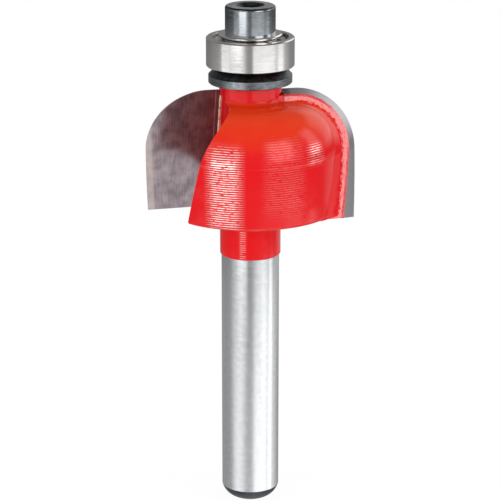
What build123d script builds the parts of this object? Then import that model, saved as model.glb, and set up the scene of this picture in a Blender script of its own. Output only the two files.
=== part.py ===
"""Cove router bit with a quarter-inch shank, two brazed carbide tips and a ball-bearing pilot.

Millimetres. The origin is the centre of the shank's end face, +Z runs along the shank to the
pilot screw, and the outer bottom corner of the first carbide tip lies on +X.
"""

from build123d import *
from math import cos, pi, radians, sin, sqrt, tan
import os

# ---------------------------------------------------------------- driving dimensions

# shank and turned body
shank_radius = 3.175
shank_length = 28.67
end_round_in = 1.3
end_round_up = 1.4
end_round_radius = 2.0
collar_radius = 3.33
collar_height = 5.13
collar_bevel = 0.12
collar_root_radius = 0.5
neck_radius = 3.42
neck_root_radius = 0.45
neck_above_tips = 0.8

# cutting form: a straight side, then a quarter round that ends level with the bearing
side_height = 7.33
cove_radius = 6.6
flute_count = 2

# carbide tips
hook_angle = 21.2
shear_angle = 14.4
carbide_thickness = 1.6
tips_below_body = 0.662
side_relief = 0.6
side_relief_taper = 0.2
top_relief = 0.3
back_edge_bevel = 0.2

# steel body behind the tips, measured inwards from the cutting form
dome_side_inset = 1.78
dome_top_inset = 1.1
dome_taper = 0.15
dome_rim_radius = 0.35
rib_side_inset = 1.33
rib_top_inset = 1.0
rib_run = 1.4
web_below_tip = 0.1
web_behind_face = 0.45
rib_blend = 0.05

# gullets, as an end mill leaves them
mill_radius = 5.0
gullet_width = 8.45
gullet_into_neck = 0.32
gullet_to_collar = 0.07

# braze
braze_gap = 0.05
braze_bead = 0.1

# pilot arbor and the screw in it
arbor_clearance = 0.015
arbor_below_race = 0.1
arbor_bevel = 0.2
screw_thread_radius = 1.48
thread_clearance = 0.02
thread_length = 8.0
thread_bevel = 0.25
hole_spare_depth = 1.0
drill_point_angle = 59.0

# spacer below the bearing
spacer_radius = 4.53
spacer_edge_height = 0.86
spacer_height = 1.8
spacer_hub_height = 0.2
spacer_clearance = 0.02
spacer_bevel = 0.08

# bearing
bearing_radius = 4.7625
bearing_bore_radius = 2.38125
bearing_width = 3.175
bearing_bevel = 0.12
ball_radius = 0.79375
ball_count = 8
ball_clearance = 0.05
groove_radius = 0.85
inner_land_radius = 2.97
outer_land_radius = 4.03
shield_seat_radius = 4.15
shield_depth = 0.36
shield_thickness = 0.13
shield_edge_clearance = 0.02
shield_running_gap = 0.08
shield_flange = 0.28
shield_dish = 0.1
ring_section = 0.18
ring_clearance = 0.01
ring_gap_angle = 24.0
ring_gap_turn = 100.0
cage_wall = 0.54
cage_back = 1.0
cage_front = 0.42
pocket_clearance = 0.06

# washer and screw head
washer_radius = 3.45
washer_thickness = 0.4
washer_hole_clearance = 0.1
washer_bevel = 0.12
head_radius = 2.72
head_height = 3.0
head_round = 0.3
socket_across_flats = 2.5
socket_depth = 1.6
socket_mouth_bevel = 0.12

# ---------------------------------------------------------------- levels and frames worked out

cove_centre_radius = bearing_radius
cutting_radius = cove_centre_radius + cove_radius
dome_bottom = shank_length + collar_height
carbide_bottom = dome_bottom - tips_below_body
cove_centre_height = carbide_bottom + side_height
dome_top = cove_centre_height + cove_radius - dome_top_inset
dome_side_radius = cutting_radius - dome_side_inset
neck_top_height = cove_centre_height + cove_radius + neck_above_tips

web_half = neck_radius - gullet_into_neck
seat_depth = carbide_thickness + braze_gap
tip_inner_edge = web_half + braze_gap
rib_inner_edge = web_half / 2
outline_steps = 8
whole_radius = cutting_radius + cove_radius

race_bottom = neck_top_height + spacer_height
race_middle = race_bottom + bearing_width / 2
race_top = race_bottom + bearing_width
arbor_radius = bearing_bore_radius - arbor_clearance
arbor_top = race_top - arbor_below_race
pitch_radius = (bearing_radius + bearing_bore_radius) / 2
shield_outside = bearing_width / 2 - shield_depth
shield_inside = shield_outside - shield_thickness
washer_top = race_top + washer_thickness
screw_hole_radius = screw_thread_radius + thread_clearance
screw_tip = washer_top - thread_length
screw_hole_bottom = screw_tip - hole_spare_depth

# The tip face is tilted forwards by the hook angle and leans into the cut by the shear angle.
hook = radians(hook_angle)
shear = radians(shear_angle)
face_setback = cutting_radius * sin(hook)
outward = Vector(cos(hook), sin(hook), 0)
ahead = Vector(-sin(hook), cos(hook), 0)
face_normal = ahead * cos(shear) - Vector(0, 0, 1) * sin(shear)
face_up = ahead * sin(shear) + Vector(0, 0, 1) * cos(shear)
face_origin = Vector(0, 0, carbide_bottom) - ahead * face_setback

# x outwards and y up the tip on both; z goes back into the tip, or up along the gullet
face_plane = Plane(origin=face_origin, x_dir=outward, z_dir=-face_normal)
gullet_plane = Plane(origin=face_origin, x_dir=outward, z_dir=face_up)

os.makedirs("parts", exist_ok=True)


def save(piece, name):
    """Labels a finished piece and writes it as the STEP file of that name."""
    piece.label = name
    export_step(piece, f"parts/{name}.step")


def corner(sketch, x, y):
    """The corner of a sketch at (x, y) on its own plane."""
    return sketch.vertices().sort_by_distance((x, y))[0]


def on_face(radius, height, depth):
    """Where a circle about the axis meets the plane that lies `depth` behind the tip face."""
    up = (height - carbide_bottom - depth * sin(shear)) / cos(shear)
    back = face_setback - up * sin(shear) + depth * cos(shear)
    return (sqrt(radius**2 - back**2), up)


def wing_section(depth, inner, bottom, reach, rise, taper=0.0):
    """A wing's outline on the plane `depth` behind the tip face: a straight side that leaves
    the bottom `taper` nearer the axis, then a quarter round `reach` wide and `rise` tall."""
    side_radius = cove_centre_radius + reach
    side_points = []
    shoulder_points = []
    for step in range(outline_steps + 1):
        share = step / outline_steps
        height = bottom + (cove_centre_height - bottom) * share
        side_points.append(on_face(side_radius - taper * (1 - share), height, depth))
        turn = pi / 2 * share
        height = cove_centre_height + rise * sin(turn)
        shoulder_points.append(on_face(cove_centre_radius + reach * cos(turn), height, depth))
    with BuildSketch(face_plane.offset(depth)) as outline:
        with BuildLine():
            side = Spline(*side_points)
            shoulder = Spline(*shoulder_points)
            Polyline(shoulder @ 1, (inner, (shoulder @ 1).Y), (inner, (side @ 0).Y), side @ 0)
        make_face()
    return outline.sketch


# ---------------------------------------------------------------- turned body with its wings

with BuildPart() as turned_blank:
    with BuildSketch(Plane.XZ) as profile:
        with BuildLine():
            Polyline(
                (0, screw_hole_bottom - screw_hole_radius / tan(radians(drill_point_angle))),
                (0, 0),
                (shank_radius - end_round_in, 0),
            )
            RadiusArc((shank_radius - end_round_in, 0), (shank_radius, end_round_up), -end_round_radius)
            Polyline(
                (shank_radius, end_round_up),
                (shank_radius, shank_length),
                (collar_radius - collar_bevel, shank_length),
                (collar_radius, shank_length + collar_bevel),
                (collar_radius, dome_bottom),
                (dome_side_radius - dome_taper, dome_bottom),
                (dome_side_radius, cove_centre_height),
            )
            shoulder = EllipticalCenterArc(
                (cove_centre_radius, cove_centre_height),
                dome_side_radius - cove_centre_radius,
                dome_top - cove_centre_height,
                arc_size=90,
            )
            Polyline(
                shoulder @ 1,
                (neck_radius, dome_top),
                (neck_radius, neck_top_height),
                (arbor_radius, neck_top_height),
                (arbor_radius, arbor_top - arbor_bevel),
                (arbor_radius - arbor_bevel, arbor_top),
                (screw_hole_radius, arbor_top),
                (screw_hole_radius, screw_hole_bottom),
                (0, screw_hole_bottom - screw_hole_radius / tan(radians(drill_point_angle))),
            )
        make_face()
        fillet(corner(profile, collar_radius, dome_bottom), collar_root_radius)
        fillet(corner(profile, dome_side_radius - dome_taper, dome_bottom), dome_rim_radius)
        fillet(corner(profile, neck_radius, dome_top), neck_root_radius)
    revolve(axis=Axis.Z)

# Steel swells out behind each tip to back it up to near its edge.
with BuildPart() as backing_rib:
    rib_reach = cove_radius - rib_side_inset
    rib_rise = cove_radius - rib_top_inset
    rib_at_tip = wing_section(seat_depth, rib_inner_edge, dome_bottom, rib_reach, rib_rise)
    rib_at_dome = wing_section(
        seat_depth + rib_run,
        rib_inner_edge,
        dome_bottom,
        dome_side_radius - cove_centre_radius - rib_blend,
        dome_top - cove_centre_height - rib_blend,
        dome_taper,
    )
    loft([rib_at_tip, rib_at_dome], ruled=True)

# The web stands out of the neck beside each tip, to close the corner between the tip and the neck.
with BuildPart() as web_shoulder:
    web_top = cove_centre_height + cove_radius - top_relief - web_below_tip
    with BuildSketch(gullet_plane):
        with BuildLine():
            Polyline(
                (rib_inner_edge, -carbide_thickness),
                (web_half, -carbide_thickness),
                (web_half, -web_behind_face),
                (rib_inner_edge, -web_behind_face),
                close=True,
            )
        make_face()
    extrude(amount=whole_radius)
    split(bisect_by=Plane.XY.offset(web_top), keep=Keep.BOTTOM)
    split(bisect_by=Plane.XY.offset(dome_bottom), keep=Keep.TOP)

# One pass clears the chips' way and the tip's seat: a web that flattens the neck's side, the
# seat behind the tip and, on the far side, the round corner of the mill. It spares the collar.
with BuildPart() as gullet:
    with BuildSketch(gullet_plane) as slot:
        with BuildLine():
            Polyline(
                (web_half, -seat_depth),
                (whole_radius, -seat_depth),
                (whole_radius, gullet_width),
                (web_half, gullet_width),
                close=True,
            )
        make_face()
        fillet(corner(slot, web_half, gullet_width), mill_radius)
    extrude(amount=whole_radius, both=True)
    Cylinder(collar_radius + gullet_to_collar, 2 * dome_bottom, mode=Mode.SUBTRACT)

with BuildPart() as cutter_body:
    add(turned_blank.part)
    with PolarLocations(0, flute_count):
        add(backing_rib.part)
        add(web_shoulder.part)
    with PolarLocations(0, flute_count):
        add(gullet.part, mode=Mode.SUBTRACT)
save(cutter_body.part, "cutter_body")

# ---------------------------------------------------------------- carbide tips and their braze

with BuildPart() as carbide_tip:
    tip_face = wing_section(0, tip_inner_edge, carbide_bottom, cove_radius, cove_radius)
    back_reach = cove_radius - side_relief
    back_rise = cove_radius - top_relief
    bevel_depth = carbide_thickness - back_edge_bevel
    tip_bevel = wing_section(
        bevel_depth,
        tip_inner_edge,
        carbide_bottom + bevel_depth * sin(shear),
        back_reach,
        back_rise,
        side_relief_taper,
    )
    tip_back = wing_section(
        carbide_thickness,
        tip_inner_edge,
        carbide_bottom + carbide_thickness * sin(shear),
        back_reach - back_edge_bevel,
        back_rise - back_edge_bevel,
        side_relief_taper,
    )
    loft([tip_face, tip_bevel, tip_back], ruled=True)

# The braze fills the seat behind the tip and beside it, and stands in a bead along the web.
with BuildPart() as braze_seam:
    with BuildSketch(gullet_plane) as seam:
        with BuildLine():
            Polyline(
                (web_half, -seat_depth),
                (whole_radius, -seat_depth),
                (whole_radius, -carbide_thickness),
                (tip_inner_edge, -carbide_thickness),
                (tip_inner_edge, 0),
                (tip_inner_edge + braze_bead, 0),
                (web_half, braze_bead),
                close=True,
            )
        make_face()
    extrude(amount=whole_radius, both=True)
    with BuildSketch(Plane.XZ) as reach:
        with BuildLine():
            Polyline(
                (0, dome_bottom),
                (cutting_radius - rib_side_inset, dome_bottom),
                (cutting_radius - rib_side_inset, cove_centre_height),
            )
            rib_shoulder = EllipticalCenterArc(
                (cove_centre_radius, cove_centre_height),
                cove_radius - rib_side_inset,
                cove_radius - rib_top_inset,
                arc_size=90,
            )
            Polyline(rib_shoulder @ 1, (0, (rib_shoulder @ 1).Y), (0, dome_bottom))
        make_face()
    revolve(axis=Axis.Z, mode=Mode.INTERSECT)

for number in range(flute_count):
    turn = 360 / flute_count * number
    save(carbide_tip.part.rotate(Axis.Z, turn), f"carbide_tip_{'abcdef'[number]}")
    save(braze_seam.part.rotate(Axis.Z, turn), f"braze_seam_{'abcdef'[number]}")

# ---------------------------------------------------------------- spacer below the bearing

with BuildPart() as spacer_ring:
    spacer_bore = arbor_radius + spacer_clearance
    cone_height = spacer_height - spacer_hub_height - spacer_edge_height
    spacer_edge_top = neck_top_height + spacer_edge_height
    with BuildSketch(Plane.XZ):
        with BuildLine():
            Polyline(
                (spacer_bore, neck_top_height),
                (spacer_radius - spacer_bevel, neck_top_height),
                (spacer_radius, neck_top_height + spacer_bevel),
                (spacer_radius, spacer_edge_top),
                (spacer_radius - cone_height, spacer_edge_top + cone_height),
                (inner_land_radius, spacer_edge_top + cone_height),
                (inner_land_radius, race_bottom),
                (spacer_bore, race_bottom),
                close=True,
            )
        make_face()
    revolve(axis=Axis.Z)
save(spacer_ring.part, "spacer_ring")

# ---------------------------------------------------------------- bearing

with BuildPart() as inner_ring:
    inner_groove_bottom = pitch_radius - ball_radius - ball_clearance
    with BuildSketch(Plane.XZ) as section:
        with Locations(((bearing_bore_radius + inner_land_radius) / 2, race_middle)):
            Rectangle(inner_land_radius - bearing_bore_radius, bearing_width)
        chamfer(section.vertices().group_by(Axis.X)[0], bearing_bevel)
        with Locations((inner_groove_bottom + groove_radius, race_middle)):
            Circle(groove_radius, mode=Mode.SUBTRACT)
    revolve(axis=Axis.Z)
save(inner_ring.part, "bearing_inner_ring")

# The outer ring is stepped at both ends for a shield, with a groove for the ring that holds it.
with BuildPart() as outer_ring:
    outer_groove_bottom = pitch_radius + ball_radius + ball_clearance
    snap_groove = ring_section + 2 * ring_clearance
    snap_height = shield_outside + ring_clearance + ring_section / 2
    with BuildSketch(Plane.XZ) as section:
        with Locations(((bearing_radius + outer_land_radius) / 2, race_middle)):
            Rectangle(bearing_radius - outer_land_radius, bearing_width)
        chamfer(section.vertices().group_by(Axis.X)[-1], bearing_bevel)
        for side in (1, -1):
            step_height = race_middle + side * (shield_inside + bearing_width / 2) / 2
            with Locations(((outer_land_radius + shield_seat_radius) / 2, step_height)):
                Rectangle(
                    shield_seat_radius - outer_land_radius,
                    bearing_width / 2 - shield_inside,
                    mode=Mode.SUBTRACT,
                )
            with Locations((shield_seat_radius, race_middle + side * snap_height)):
                Rectangle(snap_groove, snap_groove, mode=Mode.SUBTRACT)
        with Locations((outer_groove_bottom - groove_radius, race_middle)):
            Circle(groove_radius, mode=Mode.SUBTRACT)
    revolve(axis=Axis.Z)
save(outer_ring.part, "bearing_outer_ring")

for number in range(ball_count):
    with BuildPart() as ball:
        with Locations(Plane.XY.offset(race_middle)):
            with PolarLocations(pitch_radius, 1, start_angle=360 / ball_count * number):
                Sphere(ball_radius)
    save(ball.part, f"bearing_ball_{number + 1}")

# A crown cage: the balls snap into pockets that are open on one side.
with BuildPart() as cage:
    with BuildSketch(Plane.XY.offset(race_middle - cage_back)):
        Circle(pitch_radius + cage_wall / 2)
        Circle(pitch_radius - cage_wall / 2, mode=Mode.SUBTRACT)
    extrude(amount=cage_back + cage_front)
    with Locations(Plane.XY.offset(race_middle)):
        with PolarLocations(pitch_radius, ball_count):
            Sphere(ball_radius + pocket_clearance, mode=Mode.SUBTRACT)
save(cage.part, "bearing_cage")

for side, name in ((1, "upper"), (-1, "lower")):
    with BuildPart() as shield:
        shield_bore = inner_land_radius + shield_running_gap
        shield_edge = shield_seat_radius - shield_edge_clearance
        dish_foot = shield_edge - shield_flange
        flat_inside = race_middle + side * shield_inside
        flat_outside = race_middle + side * shield_outside
        rise = side * shield_dish
        with BuildSketch(Plane.XZ):
            with BuildLine():
                Polyline(
                    (shield_bore, flat_inside + rise),
                    (dish_foot - shield_dish, flat_inside + rise),
                    (dish_foot, flat_inside),
                    (shield_edge, flat_inside),
                    (shield_edge, flat_outside),
                    (dish_foot, flat_outside),
                    (dish_foot - shield_dish, flat_outside + rise),
                    (shield_bore, flat_outside + rise),
                    close=True,
                )
            make_face()
        revolve(axis=Axis.Z)
    save(shield.part, f"bearing_shield_{name}")

    # Each shield is held by an open ring of square wire.
    with BuildPart() as snap_ring:
        with BuildSketch(Plane.XZ):
            with Locations((shield_seat_radius, race_middle + side * snap_height)):
                Rectangle(ring_section, ring_section)
        revolve(axis=Axis.Z, revolution_arc=360 - ring_gap_angle)
    save(snap_ring.part.rotate(Axis.Z, side * ring_gap_turn), f"bearing_snap_ring_{name}")

# ---------------------------------------------------------------- washer and screw

with BuildPart() as washer:
    with BuildSketch(Plane.XY.offset(race_top)):
        Circle(washer_radius)
        Circle(screw_thread_radius + washer_hole_clearance, mode=Mode.SUBTRACT)
    extrude(amount=washer_thickness)
    rim = washer.faces().filter_by(GeomType.CYLINDER).sort_by(SortBy.AREA)[-1]
    chamfer(rim.edges().filter_by(GeomType.CIRCLE), washer_bevel)
save(washer.part, "washer")

with BuildPart() as pilot_screw:
    head_top = washer_top + head_height
    socket_corner_radius = socket_across_flats / sqrt(3)
    mouth_radius = socket_corner_radius + socket_mouth_bevel
    mouth_depth = mouth_radius - socket_across_flats / 2
    point_depth = socket_across_flats / 2 / tan(radians(drill_point_angle))
    with BuildSketch(Plane.XZ) as profile:
        with BuildLine():
            Polyline(
                (0, screw_tip),
                (screw_thread_radius - thread_bevel, screw_tip),
                (screw_thread_radius, screw_tip + thread_bevel),
                (screw_thread_radius, washer_top),
                (head_radius, washer_top),
                (head_radius, head_top),
                (mouth_radius, head_top),
                (socket_across_flats / 2, head_top - mouth_depth),
                (socket_across_flats / 2, head_top - socket_depth),
                (0, head_top - socket_depth - point_depth),
                close=True,
            )
        make_face()
        fillet(corner(profile, head_radius, head_top), head_round)
    revolve(axis=Axis.Z)
    with BuildSketch(Plane.XY.offset(head_top)):
        RegularPolygon(socket_across_flats / 2, 6, major_radius=False)
    extrude(amount=-socket_depth, mode=Mode.SUBTRACT)
save(pilot_screw.part, "pilot_screw")
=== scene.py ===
import math

import bpy
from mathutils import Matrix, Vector, noise


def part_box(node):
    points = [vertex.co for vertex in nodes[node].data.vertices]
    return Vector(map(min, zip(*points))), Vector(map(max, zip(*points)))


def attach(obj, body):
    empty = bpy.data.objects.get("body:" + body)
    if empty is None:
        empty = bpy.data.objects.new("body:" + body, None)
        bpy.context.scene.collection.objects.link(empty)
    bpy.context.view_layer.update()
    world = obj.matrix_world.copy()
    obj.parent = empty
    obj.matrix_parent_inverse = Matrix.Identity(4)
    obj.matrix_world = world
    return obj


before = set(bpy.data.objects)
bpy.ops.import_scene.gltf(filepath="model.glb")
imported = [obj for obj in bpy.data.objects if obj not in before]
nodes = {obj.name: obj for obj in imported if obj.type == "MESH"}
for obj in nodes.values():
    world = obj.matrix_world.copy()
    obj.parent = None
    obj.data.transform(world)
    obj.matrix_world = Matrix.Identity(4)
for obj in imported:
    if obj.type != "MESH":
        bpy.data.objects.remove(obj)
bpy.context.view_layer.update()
mm = 0.001
noiseSpan = {"From Min": 0.38, "From Max": 0.62}  # most of what a noise texture gives lies in here
print("frame loaded")


def hexToLinear(hexColour):
    channels = [int(hexColour[i:i + 2], 16) / 255 for i in (1, 3, 5)]
    return (*[c / 12.92 if c <= 0.04045 else ((c + 0.055) / 1.055) ** 2.4 for c in channels], 1.0)


def addNode(tree, kind, inputs=None, **settings):  # an input is a value or another node's output
    node = tree.nodes.new("ShaderNode" + kind)
    for name, value in settings.items():
        setattr(node, name, value)
    for socket, value in (inputs or {}).items():
        if isinstance(value, bpy.types.NodeSocket):
            tree.links.new(value, node.inputs[socket])
        else:
            node.inputs[socket].default_value = value
    return node


def startMaterial(name):
    material = bpy.data.materials.new(name)
    material.use_nodes = True
    material.node_tree.nodes.clear()
    return material, material.node_tree


def useMaterials(nodeName, materials, choose=None):  # choose gives a face's place in the list
    mesh = nodes[nodeName].data
    mesh.materials.clear()
    for material in materials:
        mesh.materials.append(material)
    if choose:
        for face in mesh.polygons:
            face.material_index = choose(face)


# How the two cutting tips stand in their seats, in degrees and millimetres.
wing = {
    "hookAngle": 21.2,  # the cutting face leans back from the radius
    "shearAngle": 14.4,  # and forward from upright
    "cuttingRadius": 11.3625,
    "bottom": 33.138,  # height of a tip's lower end
    "innerEdge": 3.15,  # where a tip starts, measured outwards along its face
    "webHalf": 3.1,  # where the steel beside it ends
    "seatDepth": 1.65,
    "backFrom": 1.3,  # behind the cutting face
    "coveCentre": (4.7625, 40.468),  # radius and height
    "coveRadius": 6.6,
}


class WingFrame:  # one wing's directions; turn is 0 or half a turn
    def __init__(self, turn):
        hook = math.radians(wing["hookAngle"]) + turn
        shear = math.radians(wing["shearAngle"])
        self.outward = Vector((math.cos(hook), math.sin(hook), 0))
        self.ahead = Vector((-math.sin(hook), math.cos(hook), 0))
        self.faceNormal = self.ahead * math.cos(shear) - Vector((0, 0, math.sin(shear)))
        self.up = self.ahead * math.sin(shear) + Vector((0, 0, math.cos(shear)))
        setback = wing["cuttingRadius"] * math.sin(math.radians(wing["hookAngle"]))
        self.origin = Vector((0, 0, wing["bottom"])) - self.ahead * setback

    def point(self, outwards, front, height):  # mm from the axis, ahead of the face, above the shank's end
        foot = self.origin + self.outward * outwards + self.faceNormal * front
        return (foot + self.up * ((height - foot.z) / self.up.z)) * mm

    def pointAtRadius(self, radius, front, height):  # the same, where a circle about the axis meets that plane
        foot = self.point(0, front, height) / mm
        back = foot.dot(self.ahead)
        return self.point(math.sqrt(radius ** 2 - back ** 2), front, height)

    def isBack(self, face):  # the flat back of a tip and the bevel round it
        depth = (self.origin - face.center / mm).dot(self.faceNormal)
        return face.normal.dot(self.faceNormal) < -0.2 and depth > wing["backFrom"]


wings = {"a": WingFrame(0.0), "b": WingFrame(math.pi)}


# Red gloss enamel, sprayed over steel that was turned and milled. The eye gets a deep wet red,
# a more orange red where it faces up, painted in as warm light from above, and bright broken threads
# where the turning marks catch a lamp: bare crests that reflect the light wall, shown only in patches
# painted where the highlights fall in the camera's view.
enamel = {
    "red": "#EC151B",
    "paintedTopLightOrange": "#F04019",
    "crest": "#FFEDE8",
    "paintedGlint": "#F88E96",
    "roughness": 0.08,
    "ior": 1.38,
    "cloudSize": 2.38,  # mm, how far apart the two reds wander
    "paintedTopLightSpan": (0.45, 1.05),  # from level to facing up, where the painted orange of warm top light comes in
    "orangePeel": 1.1,  # mm across, and how high it stands
    "peelHeight": 0.02,
    "markSpacing": 0.244,  # mm, the lathe's feed per turn
    "markHeight": 0.006,  # mm
    "dashLength": 0.5,  # mm
    "crestMetallic": 0.9,
    "paintedGlintSize": 0.3,  # mm
    # Painted highlight patches: the marks' bright crests show only in these, which sit where the lamps'
    # highlights fall in the camera's view. Degrees round each half turn, heights in mm,
    # how softly each ends, and how much of the crests shows.
    "paintedHighlightPatches": [
        {"angles": (74, 86), "angleFade": 9, "heights": (34.4, 42.0), "heightFade": 1.2, "share": 1.0},
        {"angles": (79, 86), "angleFade": 4, "heights": (28.7, 33.9), "heightFade": 0.3, "share": 0.4},
        {"angles": (111, 129), "angleFade": 9, "heights": (37.0, 42.2), "heightFade": 2.6, "share": 0.15},
        {"angles": (142, 146), "angleFade": 8, "heights": (41.0, 42.0), "heightFade": 1.0, "share": 0.8},
    ],
}


def patchShare(tree, value, span, fade):  # 1 inside the span, falling to 0 over the fade on either side
    low, high = span
    sides = []
    for start, end in ((low - fade, low), (high + fade, high)):
        ramp = {"Value": value, "From Min": start, "From Max": end}
        sides.append(addNode(tree, "MapRange", ramp, interpolation_type="SMOOTHSTEP").outputs[0])
    return addNode(tree, "Math", {0: sides[0], 1: sides[1]}, operation="MULTIPLY").outputs[0]


def turningMarks(tree, place, normal):  # how much of a bright crest shows, and the height of the marks
    apart = addNode(tree, "SeparateXYZ", {0: place}).outputs
    # Only what faces away from the axis was turned.
    radial = addNode(tree, "CombineXYZ", {"X": apart["X"], "Y": apart["Y"]}).outputs[0]
    outwards = addNode(tree, "VectorMath", {0: radial}, operation="NORMALIZE").outputs[0]
    facing = addNode(tree, "VectorMath", {0: outwards, 1: normal}, operation="DOT_PRODUCT").outputs["Value"]
    turned = addNode(tree, "MapRange", {"Value": facing, "From Min": 0.8, "From Max": 0.9}).outputs[0]

    # Both halves of the head have the same painted highlight patches; thin below adds them up.
    angle = addNode(tree, "Math", {0: apart["Y"], 1: apart["X"]}, operation="ARCTAN2").outputs[0]
    halfTurn = addNode(tree, "Math", {0: angle, 1: math.pi}, operation="FLOORED_MODULO").outputs[0]
    thin = 0.0
    for patch in enamel["paintedHighlightPatches"]:
        angles = [math.radians(v) for v in patch["angles"]]
        heights = [v * mm for v in patch["heights"]]
        inAngle = patchShare(tree, halfTurn, angles, math.radians(patch["angleFade"]))
        inHeight = patchShare(tree, apart["Z"], heights, patch["heightFade"] * mm)
        inside = addNode(tree, "Math", {0: inAngle, 1: inHeight}, operation="MULTIPLY").outputs[0]
        added = {0: inside, 1: patch["share"], 2: thin}
        thin = addNode(tree, "Math", added, operation="MULTIPLY_ADD").outputs[0]

    # At scale 1 the bands of a wave are 2 pi / 20 apart.
    waveScale = 2 * math.pi / (20 * enamel["markSpacing"] * mm)
    wave = {"Vector": place, "Scale": waveScale, "Distortion": 1.2, "Detail": 1.0, "Detail Scale": 0.6}
    marks = addNode(tree, "TexWave", wave, bands_direction="Z").outputs["Fac"]
    crest = addNode(tree, "MapRange", {"Value": marks, "From Min": 0.6, "From Max": 0.9}).outputs[0]
    long = 1 / (enamel["dashLength"] * mm)
    tall = 1 / (0.5 * enamel["markSpacing"] * mm)
    dashPlace = addNode(tree, "Mapping", {"Vector": place, "Scale": (long, long, tall)}).outputs[0]
    dash = addNode(tree, "TexNoise", {"Vector": dashPlace, "Scale": 1.0, "Detail": 2.0}).outputs[0]
    share = addNode(tree, "MapRange", {"Value": dash, "From Min": 0.34, "From Max": 0.48}).outputs[0]
    for factor in (crest, turned, thin):
        share = addNode(tree, "Math", {0: share, 1: factor}, operation="MULTIPLY").outputs[0]
    ridge = addNode(tree, "Math", {0: marks, 1: thin}, operation="MULTIPLY").outputs[0]
    return share, ridge


def makeSprayedEnamel(name, marked, paintedGlints=False):
    material, tree = startMaterial(name)
    place = addNode(tree, "TexCoord").outputs["Object"]
    normal = addNode(tree, "NewGeometry").outputs["Normal"]
    upward = addNode(tree, "SeparateXYZ", {0: normal}).outputs["Z"]
    cloudScale = 1 / (enamel["cloudSize"] * mm)
    cloud = addNode(tree, "TexNoise", {"Vector": place, "Scale": cloudScale, "Detail": 2.0}).outputs[0]
    # Painted light: what faces up is mixed towards orange, as if lit warm from above, with a cloud to break its
    # edge.
    facingUpAndCloud = addNode(tree, "Math", {0: cloud, 1: 0.5, 2: upward}, operation="MULTIPLY_ADD").outputs[0]
    low, high = enamel["paintedTopLightSpan"]
    paintedTopLightShare = addNode(tree, "MapRange", {"Value": facingUpAndCloud, "From Min": low, "From Max": high}).outputs[0]
    reds = {0: paintedTopLightShare, 6: hexToLinear(enamel["red"]), 7: hexToLinear(enamel["paintedTopLightOrange"])}
    colour = addNode(tree, "Mix", reds, data_type="RGBA").outputs[2]
    peelScale = 1 / (enamel["orangePeel"] * mm)
    peel = addNode(tree, "TexNoise", {"Vector": place, "Scale": peelScale, "Detail": 1.0}).outputs[0]
    peelHeight = enamel["peelHeight"] * mm
    bump = addNode(tree, "Bump", {"Height": peel, "Strength": 0.25, "Distance": peelHeight}).outputs[0]
    metallic = 0.0
    if marked:
        share, ridge = turningMarks(tree, place, normal)
        crests = {0: share, 6: colour, 7: hexToLinear(enamel["crest"])}
        colour = addNode(tree, "Mix", crests, data_type="RGBA").outputs[2]
        shine = {0: share, 1: enamel["crestMetallic"]}
        metallic = addNode(tree, "Math", shine, operation="MULTIPLY").outputs[0]
        relief = {"Height": ridge, "Normal": bump, "Strength": 0.5, "Distance": enamel["markHeight"] * mm}
        bump = addNode(tree, "Bump", relief).outputs[0]
    if paintedGlints:  # painted glints: pale specks on the paint that stand in for glints of light off the lumpy braze
        glintScale = 1 / (enamel["paintedGlintSize"] * mm)
        glintNoise = addNode(tree, "TexNoise", {"Vector": place, "Scale": glintScale, "Detail": 2.0}).outputs[0]
        share = addNode(tree, "MapRange", {"Value": glintNoise, "From Min": 0.46, "From Max": 0.62}).outputs[0]
        glintColours = {0: share, 6: colour, 7: hexToLinear(enamel["paintedGlint"])}
        colour = addNode(tree, "Mix", glintColours, data_type="RGBA").outputs[2]
    look = {"Base Color": colour, "Metallic": metallic, "Normal": bump}
    look.update({"Roughness": enamel["roughness"], "IOR": enamel["ior"]})
    shader = addNode(tree, "BsdfPrincipled", look)
    addNode(tree, "OutputMaterial", {"Surface": shader.outputs[0]})
    return material


# The same enamel where it lies thin on the tips' smooth backs: mottled red and pink. The high IOR stands
# for the bright carbide under it, which throws back more light than paint does; the pink patches of
# the mottle paint part of that lamp's reflection into the colour.
thinCoat = {
    "red": "#E2222A",
    "paintedSheenPink": "#F2605A",
    "roughness": 0.22,
    "ior": 1.95,
    "mottleSize": 0.385,  # mm
    "mottleHeight": 0.03,  # mm
}


def makeThinEnamel():
    material, tree = startMaterial("thinEnamelOnCarbide")
    place = addNode(tree, "TexCoord").outputs["Object"]
    mottleScale = 1 / (thinCoat["mottleSize"] * mm)
    mottle = addNode(tree, "TexNoise", {"Vector": place, "Scale": mottleScale, "Detail": 3.0}).outputs[0]
    share = addNode(tree, "MapRange", {"Value": mottle, "From Min": 0.35, "From Max": 0.62}).outputs[0]
    reds = {0: share, 6: hexToLinear(thinCoat["red"]), 7: hexToLinear(thinCoat["paintedSheenPink"])}
    colour = addNode(tree, "Mix", reds, data_type="RGBA").outputs[2]
    relief = {"Height": mottle, "Strength": 0.5, "Distance": thinCoat["mottleHeight"] * mm}
    bump = addNode(tree, "Bump", relief).outputs[0]
    look = {"Base Color": colour, "Roughness": thinCoat["roughness"], "IOR": thinCoat["ior"], "Normal": bump}
    shader = addNode(tree, "BsdfPrincipled", look)
    addNode(tree, "OutputMaterial", {"Surface": shader.outputs[0]})
    return material


# Steels. Each is bright metal whose fine marks run round the axis. The marks of grinding and turning
# are some microns wide and are drawn tens of times coarser, so that they show.
markSize = {"around": 1.2, "up": 0.12, "cloud": 0.5, "height": 0.006}  # mm

# Ground shank: long soft streaks of light.
shankGround = {
    "name": "groundShankSteel",
    "dark": "#C8CACC", "light": "#D2D4D6", "roughness": (0.18, 0.22), "relief": 0.06,
}
# Ground and lapped bearing races: nearly a mirror, with hard bands of light and dark.
raceGround = {
    "name": "groundRaceSteel",
    "dark": "#CBC9C8", "light": "#D2D0CF", "roughness": (0.08, 0.14), "relief": 0.02,
}
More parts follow.
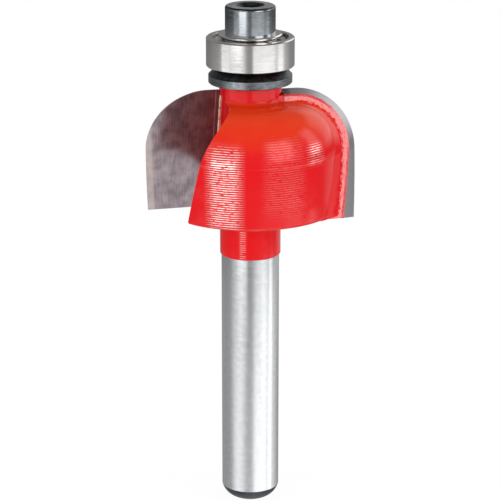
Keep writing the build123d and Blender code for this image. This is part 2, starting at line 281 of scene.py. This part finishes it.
# Hardening scale on the shank's rounded end: a dark blue grey, almost matt.
endScale = {
    "name": "scaledEndSteel",
    "dark": "#3C4045", "light": "#50555A", "roughness": (0.35, 0.5), "relief": 0.06,
}
# Black oxide on the side of the screw's head, rubbed thin: a cool grey mirror.
screwOxide = {
    "name": "blackOxideScrewSteel",
    "dark": "#959A9E", "light": "#A6ABAF", "roughness": (0.08, 0.15), "relief": 0.05,
}
# Black oxide on the spacer, over coarse turning: a dull grey whose light wavers.
spacerOxide = {
    "name": "blackOxideSpacerSteel",
    "dark": "#6C7174", "light": "#8E9598", "roughness": (0.22, 0.36), "relief": 0.15,
}
# Black oxide inside the socket, where nothing rubs it: dark and dull.
socketOxide = {
    "name": "blackOxideSocketSteel",
    "dark": "#3A3D40", "light": "#54585B", "roughness": (0.4, 0.55), "relief": 0.06,
}
# Oxide on the top face of the screw, paler than on its sides: a pale satin grey.
paleTopOxide = {
    "name": "paleOxideTopSteel",
    "dark": "#AFB3B7", "light": "#DADDDF", "roughness": (0.3, 0.45), "relief": 0.3,
}
# Oxide on cones and edges, near black: painted shade on the head's sloping and downward faces and on the
# spacer's cone under the bearing.
paintedShadeOxide = {
    "name": "blackOxideSteelInPaintedShade",
    "dark": "#2A2C2E", "light": "#4A4E50", "roughness": (0.3, 0.42), "relief": 0.06,
}
# Polished washer: a thin bright line.
washerPolish = {
    "name": "polishedWasherSteel",
    "dark": "#CFCCC9", "light": "#DFDCDA", "roughness": (0.1, 0.18), "relief": 0.06,
}
# Rolled and pressed sheet of the shields: a soft bright satin.
shieldPress = {
    "name": "rolledShieldSteel",
    "dark": "#C4C1BE", "light": "#D4D1CE", "roughness": (0.18, 0.28), "relief": 0.06,
}
# Pressed strip of the cage: the same, a little duller.
cagePress = {
    "name": "pressedCageSteel",
    "dark": "#9E9B98", "light": "#B4B1AE", "roughness": (0.25, 0.35), "relief": 0.06,
}
# Drawn spring wire: a dark grey line in its groove.
springWire = {
    "name": "drawnSpringWire",
    "dark": "#55555A", "light": "#6A6A6E", "roughness": (0.25, 0.35), "relief": 0.06,
}


def makeSteel(finish):
    material, tree = startMaterial(finish["name"])
    place = addNode(tree, "TexCoord").outputs["Object"]
    around, tall = 1 / (markSize["around"] * mm), 1 / (markSize["up"] * mm)
    markPlace = addNode(tree, "Mapping", {"Vector": place, "Scale": (around, around, tall)}).outputs[0]
    marks = addNode(tree, "TexNoise", {"Vector": markPlace, "Scale": 1.0, "Detail": 3.0}).outputs[0]
    cloudScale = 1 / (markSize["cloud"] * mm)
    cloud = addNode(tree, "TexNoise", {"Vector": place, "Scale": cloudScale, "Detail": 3.0}).outputs[0]
    both = addNode(tree, "Mix", {0: 0.5, 2: marks, 3: cloud}).outputs[0]
    share = addNode(tree, "MapRange", {"Value": both, **noiseSpan}).outputs[0]
    greys = {0: share, 6: hexToLinear(finish["dark"]), 7: hexToLinear(finish["light"])}
    tone = addNode(tree, "Mix", greys, data_type="RGBA").outputs[2]
    low, high = finish["roughness"]
    spread = {"Value": marks, "From Min": 0.3, "From Max": 0.7, "To Min": low, "To Max": high}
    rough = addNode(tree, "MapRange", spread).outputs[0]
    relief = {"Height": marks, "Strength": finish["relief"], "Distance": markSize["height"] * mm}
    bump = addNode(tree, "Bump", relief).outputs[0]
    look = {"Base Color": tone, "Metallic": 1.0, "Roughness": rough, "Normal": bump}
    shader = addNode(tree, "BsdfPrincipled", look)
    addNode(tree, "OutputMaterial", {"Surface": shader.outputs[0]})
    return material


# Cemented carbide, diamond ground: the face is lapped to a dull mirror with fine upright scratches,
# and the narrow land behind the cutting edge stays a flat grey.
carbide = {
    "dark": "#60565A",
    "light": "#857B7F",
    "land": "#AEABAF",
    "honed": "#9A908D",  # a brighter strip where the cutting edge was honed
    "honedWidth": 0.8,  # mm
    "honedFade": 0.3,
    "edgeFoot": 10.59,  # mm out from the axis at the tip's lower end
    "edgeLean": 0.074,  # mm outwards for each mm up
    "scribed": 3.66,  # mm out from the axis, a pale line ruled along the face beside the braze
    "scribedWidth": 0.07,
    "scribedShare": 0.8,
    "wornSpan": (4, 8.5),  # mm out from the axis, from the brightest part of the face to the dullest
    "wornMetallic": (0.72, 0.5),
    "landMetallic": 0.85,
    "landRoughness": 0.3,
    "faceRoughness": 0.17,
    "cloudSize": 1.11,  # mm
    "grit": 0.12,  # mm between scratches, drawn coarser than the real ones
    "gritStretch": 20,  # a scratch is so many times as long as it is wide
    "gritHeight": 0.004,  # mm
}


def makeGroundCarbide(letter):
    material, tree = startMaterial("groundCarbide_" + letter)
    side = wings[letter]
    place = addNode(tree, "TexCoord").outputs["Object"]
    normal = addNode(tree, "NewGeometry").outputs["Normal"]
    # How far out along the face, how far up it, and how squarely the surface faces that way.
    across, along, facing = (
        addNode(tree, "VectorMath", {0: first, 1: second}, operation="DOT_PRODUCT").outputs["Value"]
        for first, second in ((place, side.outward), (place, side.up), (normal, side.faceNormal))
    )
    face = addNode(tree, "MapRange", {"Value": facing, "From Min": 0.8, "From Max": 0.95}).outputs[0]

    slow = addNode(tree, "Math", {0: along, 1: 1 / carbide["gritStretch"]}, operation="MULTIPLY").outputs[0]
    grindPlace = addNode(tree, "CombineXYZ", {"X": across, "Y": slow}).outputs[0]
    gritScale = 1 / (carbide["grit"] * mm)
    grind = addNode(tree, "TexNoise", {"Vector": grindPlace, "Scale": gritScale, "Detail": 2.0}).outputs[0]
    cloudScale = 1 / (carbide["cloudSize"] * mm)
    cloud = addNode(tree, "TexNoise", {"Vector": place, "Scale": cloudScale, "Detail": 5.0}).outputs[0]
    both = addNode(tree, "Mix", {0: 0.6, 2: grind, 3: cloud}).outputs[0]
    share = addNode(tree, "MapRange", {"Value": both, **noiseSpan}).outputs[0]
    greys = {0: share, 6: hexToLinear(carbide["dark"]), 7: hexToLinear(carbide["light"])}
    tone = addNode(tree, "Mix", greys, data_type="RGBA").outputs[2]

    # The honed strip follows the straight part of the edge, which leans outwards going up.
    lean = carbide["edgeLean"]
    straight = addNode(tree, "Math", {0: along, 1: -lean, 2: across}, operation="MULTIPLY_ADD").outputs[0]
    footAlong = wing["bottom"] * math.cos(math.radians(wing["shearAngle"]))
    honedFrom = (carbide["edgeFoot"] - carbide["honedWidth"] - lean * footAlong) * mm
    ramp = {"Value": straight, "From Min": honedFrom, "From Max": honedFrom + carbide["honedFade"] * mm}
    honed = addNode(tree, "MapRange", ramp).outputs[0]
    ramp = {"Value": cloud, "From Min": 0.3, "From Max": 0.6, "To Min": 0.55}
    patchy = addNode(tree, "MapRange", ramp).outputs[0]
    honed = addNode(tree, "Math", {0: honed, 1: patchy}, operation="MULTIPLY").outputs[0]
    fromLine = addNode(tree, "Math", {0: across, 1: -carbide["scribed"] * mm}, operation="ADD").outputs[0]
    fromLine = addNode(tree, "Math", {0: fromLine}, operation="ABSOLUTE").outputs[0]
    lineShare = carbide["scribedShare"]
    ramp = {"Value": fromLine, "From Min": carbide["scribedWidth"] * mm, "From Max": 0.0, "To Max": lineShare}
    line = addNode(tree, "MapRange", ramp).outputs[0]
    bright = addNode(tree, "Math", {0: honed, 1: line}, operation="MAXIMUM").outputs[0]
    bright = addNode(tree, "Math", {0: bright, 1: face}, operation="MULTIPLY").outputs[0]
    tones = {0: bright, 6: tone, 7: hexToLinear(carbide["honed"])}
    tone = addNode(tree, "Mix", tones, data_type="RGBA").outputs[2]
    tones = {0: face, 6: hexToLinear(carbide["land"]), 7: tone}
    tone = addNode(tree, "Mix", tones, data_type="RGBA").outputs[2]
    ramp = {"Value": face, "To Min": carbide["landRoughness"], "To Max": carbide["faceRoughness"]}
    rough = addNode(tree, "MapRange", ramp).outputs[0]

    # The face is duller towards its outer edge, where it has cut, and along the ruled line.
    near, far = (v * mm for v in carbide["wornSpan"])
    best, worst = carbide["wornMetallic"]
    ramp = {"Value": across, "From Min": near, "From Max": far, "To Min": best, "To Max": worst}
    lapped = addNode(tree, "MapRange", ramp).outputs[0]
    lapped = addNode(tree, "Math", {0: line, 1: -lineShare, 2: lapped}, operation="MULTIPLY_ADD").outputs[0]
    metallic = addNode(tree, "Mix", {0: face, 2: carbide["landMetallic"], 3: lapped}).outputs[0]
    relief = {"Height": both, "Strength": 0.1, "Distance": carbide["gritHeight"] * mm}
    bump = addNode(tree, "Bump", relief).outputs[0]
    look = {"Base Color": tone, "Metallic": metallic, "Roughness": rough, "Normal": bump}
    shader = addNode(tree, "BsdfPrincipled", look)
    addNode(tree, "OutputMaterial", {"Surface": shader.outputs[0]})
    return material


# Silver braze as it ran and set: satin, lumpy, pale tan with scorched flux in its hollows.
silverAlloy = {
    "scorched": "#B08A66",
    "clean": "#EDD9C4",
    "metallic": 0.5,
    "roughness": 0.35,
    "lumpSize": 0.455,  # mm
    "lumpHeight": 0.03,  # mm
}


def makeSilverBraze():
    material, tree = startMaterial("silverBraze")
    place = addNode(tree, "TexCoord").outputs["Object"]
    lumpScale = 1 / (silverAlloy["lumpSize"] * mm)
    lumps = addNode(tree, "TexNoise", {"Vector": place, "Scale": lumpScale, "Detail": 3.0}).outputs[0]
    share = addNode(tree, "MapRange", {"Value": lumps, "From Min": 0.3, "From Max": 0.5}).outputs[0]
    tans = {0: share, 6: hexToLinear(silverAlloy["scorched"]), 7: hexToLinear(silverAlloy["clean"])}
    tone = addNode(tree, "Mix", tans, data_type="RGBA").outputs[2]
    relief = {"Height": lumps, "Strength": 0.5, "Distance": silverAlloy["lumpHeight"] * mm}
    bump = addNode(tree, "Bump", relief).outputs[0]
    look = {"Base Color": tone, "Normal": bump}
    look.update({"Metallic": silverAlloy["metallic"], "Roughness": silverAlloy["roughness"]})
    shader = addNode(tree, "BsdfPrincipled", look)
    addNode(tree, "OutputMaterial", {"Surface": shader.outputs[0]})
    return material


# Heights in mm at which the one steel body changes its finish.
bodyZones = {"roundedEndTop": 1.39, "paintFrom": 28.66, "paintTo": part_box("spacer_ring")[0].z / mm - 0.01}


def bodyFinish(face):  # 0 enamel, 1 ground steel, 2 scaled end
    height = face.center.z / mm
    if bodyZones["paintFrom"] < height < bodyZones["paintTo"]:
        return 0
    return 2 if height < bodyZones["roundedEndTop"] else 1


sprayedEnamel = makeSprayedEnamel("sprayedEnamel", marked=True)
useMaterials("cutter_body", [sprayedEnamel, makeSteel(shankGround), makeSteel(endScale)], bodyFinish)

thinEnamel = makeThinEnamel()
silverBraze = makeSilverBraze()
for letter, side in wings.items():
    tipMaterials = [makeGroundCarbide(letter), thinEnamel]
    useMaterials(f"carbide_tip_{letter}", tipMaterials, lambda face, side=side: 1 if side.isBack(face) else 0)
    useMaterials(f"braze_seam_{letter}", [silverBraze])

raceSteel = makeSteel(raceGround)
shieldSteel = makeSteel(shieldPress)
wireSteel = makeSteel(springWire)
for name in nodes:
    if name.startswith("bearing_ball_") or name in ("bearing_inner_ring", "bearing_outer_ring"):
        useMaterials(name, [raceSteel])
for level in ("upper", "lower"):
    useMaterials(f"bearing_shield_{level}", [shieldSteel])
    useMaterials(f"bearing_snap_ring_{level}", [wireSteel])
useMaterials("bearing_cage", [makeSteel(cagePress)])
useMaterials("washer", [makeSteel(washerPolish)])

# The screw's head starts above this height, and its hexagonal socket ends just under the top, in mm.
screwHead = {"from": 50, "socketRadius": 1.47, "socketRim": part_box("pilot_screw")[1].z / mm - 0.05}


def screwFinish(face):  # 0 sides and shank, 1 inside the socket, 2 edges of the head and faces under it, near black as painted shade, 3 its top
    place = face.center / mm
    inHead = place.z > screwHead["from"]
    if inHead and place.z < screwHead["socketRim"] and math.hypot(place.x, place.y) < screwHead["socketRadius"]:
        return 1
    if not inHead or abs(face.normal.z) < 0.25:
        return 0
    return 3 if face.normal.z > 0.9 else 2


paintedShadeSteel = makeSteel(paintedShadeOxide)
screwMaterials = [makeSteel(screwOxide), makeSteel(socketOxide), paintedShadeSteel, makeSteel(paleTopOxide)]
useMaterials("pilot_screw", screwMaterials, screwFinish)
# The spacer's faces that look up, under the bearing, take the near-black oxide as painted shade.
spacerMaterials = [makeSteel(spacerOxide), paintedShadeSteel]
useMaterials("spacer_ring", spacerMaterials, lambda face: 1 if face.normal.z > 0.3 else 0)
print("materials set on the solids")


def addLumpyBead(name, path, radii, lumpSize, lumpShare, seed):  # path in metres, radii in mm at its points
    ringCount = 12
    shift = Vector((seed * 7.3, seed * 3.1, 0))
    skew = Vector((0.31, 0.52, 0.79))  # no path runs this way
    verts, faces = [], []
    for k, point in enumerate(path):
        tangent = (path[min(k + 1, len(path) - 1)] - path[max(k - 1, 0)]).normalized()
        sideways = tangent.cross(skew).normalized()
        other = tangent.cross(sideways)
        for step in range(ringCount):
            turn = 2 * math.pi * step / ringCount
            arm = sideways * math.cos(turn) + other * math.sin(turn)
            lump = noise.noise((point / mm + arm * radii[k]) / lumpSize + shift)
            verts.append(point + arm * radii[k] * mm * (1 + lumpShare * lump))
    for k in range(len(path) - 1):
        for step in range(ringCount):
            a, b = k * ringCount + step, k * ringCount + (step + 1) % ringCount
            faces.append((a, b, b + ringCount, a + ringCount))
    faces.append(tuple(reversed(range(ringCount))))
    faces.append(tuple(range(len(verts) - ringCount, len(verts))))
    mesh = bpy.data.meshes.new(name)
    mesh.from_pydata(verts, [], faces)
    mesh.update()
    for face in mesh.polygons:
        face.use_smooth = True
    piece = bpy.data.objects.new(name, mesh)
    bpy.context.scene.collection.objects.link(piece)
    return piece


# The braze that was squeezed out beside each tip, thicker at its foot. All in mm.
brazeBead = {
    "from": 33.9,
    "to": 46.45,
    "steps": 110,
    "outwards": wing["innerEdge"] - 0.02,
    "front": 0.01,
    "thick": 0.2,
    "thin": 0.12,
    "taperRate": 1.2,  # over 1, so it is thin before it ends
    "lumpSize": 0.5,
    "lumpShare": 0.35,
}
# The enamel run that covers its upper end. It comes forward and swells as it goes up.
enamelRun = {
    "from": 46.2,
    "to": 47.75,
    "steps": 24,
    "outwards": wing["webHalf"] - 0.06,
    "front": (0.02, 0.12),
    "thin": 0.1,
    "thick": 0.28,
    "swell": 1.5,
    "lumpSize": 0.6,
    "lumpShare": 0.25,
}
endRadius = 0.03  # mm, both close to a blunt point

# The last value of each piece is its seed, so that no two have the same lumps.
for number, (letter, side) in enumerate(wings.items()):
    bead, steps = brazeBead, brazeBead["steps"]
    levels = [bead["from"] + (bead["to"] - bead["from"]) * k / steps for k in range(steps + 1)]
    path = [side.point(bead["outwards"], bead["front"], level) for level in levels]
    tapers = [min(1, k / steps * bead["taperRate"]) for k in range(steps + 1)]
    radii = [bead["thick"] + (bead["thin"] - bead["thick"]) * taper for taper in tapers]
    radii[0] = radii[-1] = endRadius
    piece = addLumpyBead(f"braze_bead_{letter}", path, radii, bead["lumpSize"], bead["lumpShare"], number)
    piece.data.materials.append(silverBraze)
    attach(piece, "bit")

    run, steps = enamelRun, enamelRun["steps"]
    levels = [run["from"] + (run["to"] - run["from"]) * k / steps for k in range(steps + 1)]
    low, high = run["front"]
    fronts = [low + (high - low) * k / steps for k in range(steps + 1)]
    path = [side.point(run["outwards"], front, level) for front, level in zip(fronts, levels)]
    swells = [(k / steps) ** run["swell"] for k in range(steps + 1)]
    radii = [run["thin"] + (run["thick"] - run["thin"]) * swell for swell in swells]
    radii[0] = radii[-1] = endRadius
    piece = addLumpyBead(f"enamel_run_{letter}", path, radii, run["lumpSize"], run["lumpShare"], number + 3)
    piece.data.materials.append(sprayedEnamel)
    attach(piece, "bit")

# The ragged line of painted-over braze where each tip's back comes out of the steel. All in mm.
backLine = {
    "foot": 33.95,
    "sideInset": 1.3,  # in from the cutting edge, beside the tip and above it
    "topInset": 0.97,
    "straightSteps": 60,
    "curvedSteps": 70,
    "curvedShare": 0.97,  # how much of the quarter round it follows
    "sink": 0.02,
    "thin": 0.05,
    "thick": 0.2,
    "lumpSize": 0.4,
    "lumpShare": 0.6,
}
# Its pale specks are painted glints.
paintedBraze = makeSprayedEnamel("paintedBraze", marked=False, paintedGlints=True)

for number, (letter, side) in enumerate(wings.items()):
    centreRadius, centreHeight = wing["coveCentre"]
    reach, rise = wing["coveRadius"] - backLine["sideInset"], wing["coveRadius"] - backLine["topInset"]
    outline = []
    for k in range(backLine["straightSteps"]):
        climb = (centreHeight - backLine["foot"]) * k / backLine["straightSteps"]
        outline.append((centreRadius + reach, backLine["foot"] + climb))
    for k in range(backLine["curvedSteps"] + 1):
        turn = math.pi / 2 * k / backLine["curvedSteps"] * backLine["curvedShare"]
        outline.append((centreRadius + reach * math.cos(turn), centreHeight + rise * math.sin(turn)))
    front = backLine["sink"] - wing["seatDepth"]
    path = [side.pointAtRadius(radius, front, height) for radius, height in outline]
    radii = []
    for k in range(len(path)):
        wave = noise.noise(Vector((k * 0.33, number * 5.0, 0.7)))  # thick and thin every few steps
        radii.append(backLine["thin"] + (backLine["thick"] - backLine["thin"]) * max(0, 0.5 + wave))
    lumps = (backLine["lumpSize"], backLine["lumpShare"])
    piece = addLumpyBead(f"painted_braze_line_{letter}", path, radii, *lumps, number + 6)
    piece.data.materials.append(paintedBraze)
    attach(piece, "bit")
print("braze and enamel runs made")


camera = {
    "azimuth": 6.9,  # degrees round from -Y towards +X
    "elevation": 16.98,
    "distance": 237.16,  # mm
    "aimHeight": 28.93,  # mm
    "lens": 154.94,  # mm, on a sensor 36 mm wide
    "sensor": 36.0,
    "shift": -0.0006,
    "clipStart": 0.01,  # m
}


def aroundAxis(azimuth, elevation, distance):  # azimuth is degrees right of the camera
    a, e = math.radians(azimuth + camera["azimuth"]), math.radians(elevation)
    return Vector((math.sin(a) * math.cos(e), -math.cos(a) * math.cos(e), math.sin(e))) * distance


def addCamera():
    data = bpy.data.cameras.new("camera")
    data.lens = camera["lens"]
    data.sensor_width = camera["sensor"]
    data.shift_x = camera["shift"]
    data.clip_start = camera["clipStart"]
    piece = bpy.data.objects.new("camera", data)
    bpy.context.scene.collection.objects.link(piece)
    back = aroundAxis(0, camera["elevation"], 1.0)
    piece.location = Vector((0, 0, camera["aimHeight"] * mm)) + back * camera["distance"] * mm
    piece.rotation_euler = back.to_track_quat("Z", "Y").to_euler()
    bpy.context.scene.camera = piece


addCamera()

# The studio is a round wall of soft light that only polished surfaces see. Each level is a pair:
# degrees right of the camera, and how bright the wall is there next to white.
studioLevels = {
    "low": [(-180, 0.5), (-10, 0.5), (5, 2.1), (60, 2.1), (80, 0.5), (180, 0.5)],
    "shankEnd": [(-180, 0.25), (-150, 0.4), (-100, 0.45), (-84, 0.55), (-74, 0.85), (-66, 1.15), (-56, 1.4),
                 (-45, 1.4), (-32, 1.15), (-22, 0.85), (-14, 0.72), (-2, 0.7), (8, 0.8), (15, 1.35), (24, 1.7),
                 (60, 1.75), (67, 1.5), (73, 1.25), (80, 1.9), (90, 1.95), (98, 1.2), (106, 0.95), (118, 0.8),
                 (135, 0.5), (180, 0.25)],
    "shankTop": [(-180, 0.3), (-150, 0.42), (-100, 0.5), (-84, 0.62), (-70, 0.95), (-56, 0.8), (-46, 0.85),
                 (-38, 1.0), (-30, 0.9), (-22, 0.72), (-15, 0.48), (-2, 0.45), (6, 0.5), (14, 0.72), (26, 1.1),
                 (42, 1.3), (52, 2.1), (68, 2.1), (76, 1.4), (82, 1.7), (88, 3.2), (94, 2.4), (102, 1.25),
                 (117, 0.9), (134, 0.6), (180, 0.3)],
    "collar": [(-180, 0.2), (-50, 0.2), (-40, 1.0), (-16, 1.0), (-9, 0.2), (110, 0.2), (125, 0.7), (150, 0.6),
               (180, 0.3)],
    "dome": [(-180, 0.2), (-70, 0.2), (-58, 0.9), (-49, 2.3), (-16, 2.3), (-8, 0.25), (0, 0.12), (18, 0.2),
             (28, 0.7), (40, 1.1), (52, 0.9), (62, 0.35), (72, 0.12), (90, 0.12), (105, 0.2), (125, 0.55),
             (150, 0.55), (180, 0.3)],
    "bearing": [(-180, 0.22), (-152, 0.25), (-130, 0.3), (-110, 0.42), (-90, 0.52), (-82, 0.75), (-77, 1.6),
                (-60, 1.5), (-50, 0.95), (-40, 0.85), (-20, 0.85), (-14, 0.72), (-8, 0.52), (-1, 0.46),
                (4, 0.56), (10, 1.7), (64, 1.7), (69, 1.3), (74, 1.3), (80, 1.8), (91, 1.8), (96, 1.2),
                (104, 0.72), (113, 0.58), (124, 0.38), (136, 0.34), (180, 0.22)],
    "head": [(-180, 0.06), (-95, 0.07), (-83, 0.09), (-71, 0.13), (-61, 0.24), (-54, 0.6), (-48, 2.7),
             (-24, 3.1), (-17, 1.1), (-11, 0.4), (-4, 0.24), (4, 0.26), (12, 0.28), (30, 0.4), (46, 0.4),
             (57, 0.3), (67, 0.17), (79, 0.1), (92, 0.09), (123, 0.14), (180, 0.1)],
    "upper": [(-180, 0.26), (-120, 0.3), (-75, 0.6), (-50, 0.9), (-14, 0.9), (-8, 0.3), (18, 0.3), (32, 2.8),
              (54, 2.8), (66, 0.35), (80, 0.35), (90, 2.4), (100, 2.4), (110, 0.6), (125, 1.3), (150, 1.3),
              (165, 0.4), (180, 0.28)],
    "top": [(-180, 0.22), (180, 0.22)],
}
studio = {
    "wallRadius": 0.6,  # m
    "wallStep": 2,  # degrees
    # Heights in mm and the levels there. The last row closes the wall high over the object.
    "rows": [(-900, "low"), (-400, "low"), (-300, "shankEnd"), (-205, "shankEnd"), (-184, "shankTop"),
             (-157, "shankTop"), (-153, "collar"), (-140, "collar"), (-136, "dome"), (-100, "dome"),
             (-94, "bearing"), (-67, "bearing"), (-61, "head"), (-10, "head"), (90, "upper"), (430, "upper"),
             (600, "top"), (20000, "top")],
    "airForMatt": 0.67,  # what painted and other matt surfaces see of the room, next to white
    "floorSize": 3.0,  # m
    "floorColour": "#F4F4F4",
    # The camera sees plain white on the floor, but for the share that stays matt and holds the shadow.
    # The white is a trace over 1 to make up for that share.
    "floorWhiteShare": 0.92,
    "floorWhite": 1.03,
}
# Three soft lamps, which paint and other matt surfaces see and metal does not.
softboxes = {
    "azimuths": {"leftSoftbox": -50, "frontSoftbox": 10, "rightSoftbox": 65},  # degrees right of the camera
    "elevation": 6,
    "distance": 0.7,  # m
    "size": 0.6,  # m
    "power": 1.05,  # W
}


def levelAt(levels, azimuth):  # straight lines between the listed pairs
    for (start, low), (end, high) in zip(levels, levels[1:]):
        if start <= azimuth <= end:
            return low + (high - low) * (azimuth - start) / (end - start)


def addStage(name, verts, faces, material):
    mesh = bpy.data.meshes.new(name)
    mesh.from_pydata(verts, [], faces)
    mesh.materials.append(material)
    piece = bpy.data.objects.new(name, mesh)
    bpy.context.scene.collection.objects.link(piece)
    return piece


def addLightWall():
    material, tree = startMaterial("lightWall")
    glow = addNode(tree, "Attribute", attribute_name="glow").outputs["Fac"]
    light = addNode(tree, "Emission", {"Strength": glow})
    addNode(tree, "OutputMaterial", {"Surface": light.outputs[0]})
    azimuths = range(-180, 180, studio["wallStep"])
    verts, glows, faces = [], [], []
    for height, name in studio["rows"]:
        for azimuth in azimuths:
            foot = aroundAxis(azimuth, 0, studio["wallRadius"])
            verts.append((foot.x, foot.y, height * mm))
            glows.append(levelAt(studioLevels[name], azimuth))
    count = len(azimuths)
    for row in range(len(studio["rows"]) - 1):
        for k in range(count):
            a, b = row * count + k, row * count + (k + 1) % count
            faces.append((a, b, b + count, a + count))
    wall = addStage("light_wall", verts, faces, material)
    attribute = wall.data.attributes.new("glow", "FLOAT", "POINT")
    attribute.data.foreach_set("value", glows)
    wall.visible_camera = wall.visible_diffuse = wall.visible_shadow = False


def addFloor():
    material, tree = startMaterial("paleFloor")
    matt = addNode(tree, "BsdfDiffuse", {"Color": hexToLinear(studio["floorColour"])})
    white = addNode(tree, "Emission", {"Color": (1, 1, 1, 1), "Strength": studio["floorWhite"]})
    rays = addNode(tree, "LightPath").outputs
    share = {0: rays["Is Camera Ray"], 1: studio["floorWhiteShare"]}
    seen = addNode(tree, "Math", share, operation="MULTIPLY").outputs[0]
    both = addNode(tree, "MixShader", {0: seen, 1: matt.outputs[0], 2: white.outputs[0]})
    addNode(tree, "OutputMaterial", {"Surface": both.outputs[0]})
    half = studio["floorSize"] / 2
    verts = [(-half, -half, 0), (half, -half, 0), (half, half, 0), (-half, half, 0)]
    floor = addStage("floor", verts, [(0, 1, 2, 3)], material)
    floor.visible_glossy = floor.visible_shadow = False


def addAir():
    world = bpy.data.worlds.new("studioAir")
    bpy.context.scene.world = world
    world.use_nodes = True
    tree = world.node_tree
    tree.nodes.clear()
    rays = addNode(tree, "LightPath").outputs
    clear = rays["Is Camera Ray"]
    for ray in ("Is Glossy Ray", "Is Transmission Ray"):
        clear = addNode(tree, "Math", {0: clear, 1: rays[ray]}, operation="MAXIMUM").outputs[0]
    levels = {"Value": clear, "To Min": studio["airForMatt"], "To Max": 1.0}
    level = addNode(tree, "MapRange", levels).outputs[0]
    air = addNode(tree, "Background", {"Color": (1, 1, 1, 1), "Strength": level})
    addNode(tree, "OutputWorld", {"Surface": air.outputs[0]})


def addSoftbox(name, azimuth):
    data = bpy.data.lights.new(name, "AREA")
    data.size = softboxes["size"]
    data.energy = softboxes["power"]
    light = bpy.data.objects.new(name, data)
    bpy.context.scene.collection.objects.link(light)
    light.location = aroundAxis(azimuth, softboxes["elevation"], softboxes["distance"])
    light.rotation_euler = light.location.to_track_quat("Z", "Y").to_euler()
    light.visible_camera = light.visible_glossy = False


addLightWall()
addFloor()
addAir()
for name, azimuth in softboxes["azimuths"].items():
    addSoftbox(name, azimuth)
bpy.context.scene.view_settings.view_transform = "Standard"
print("camera, lamps, floor and light wall set")
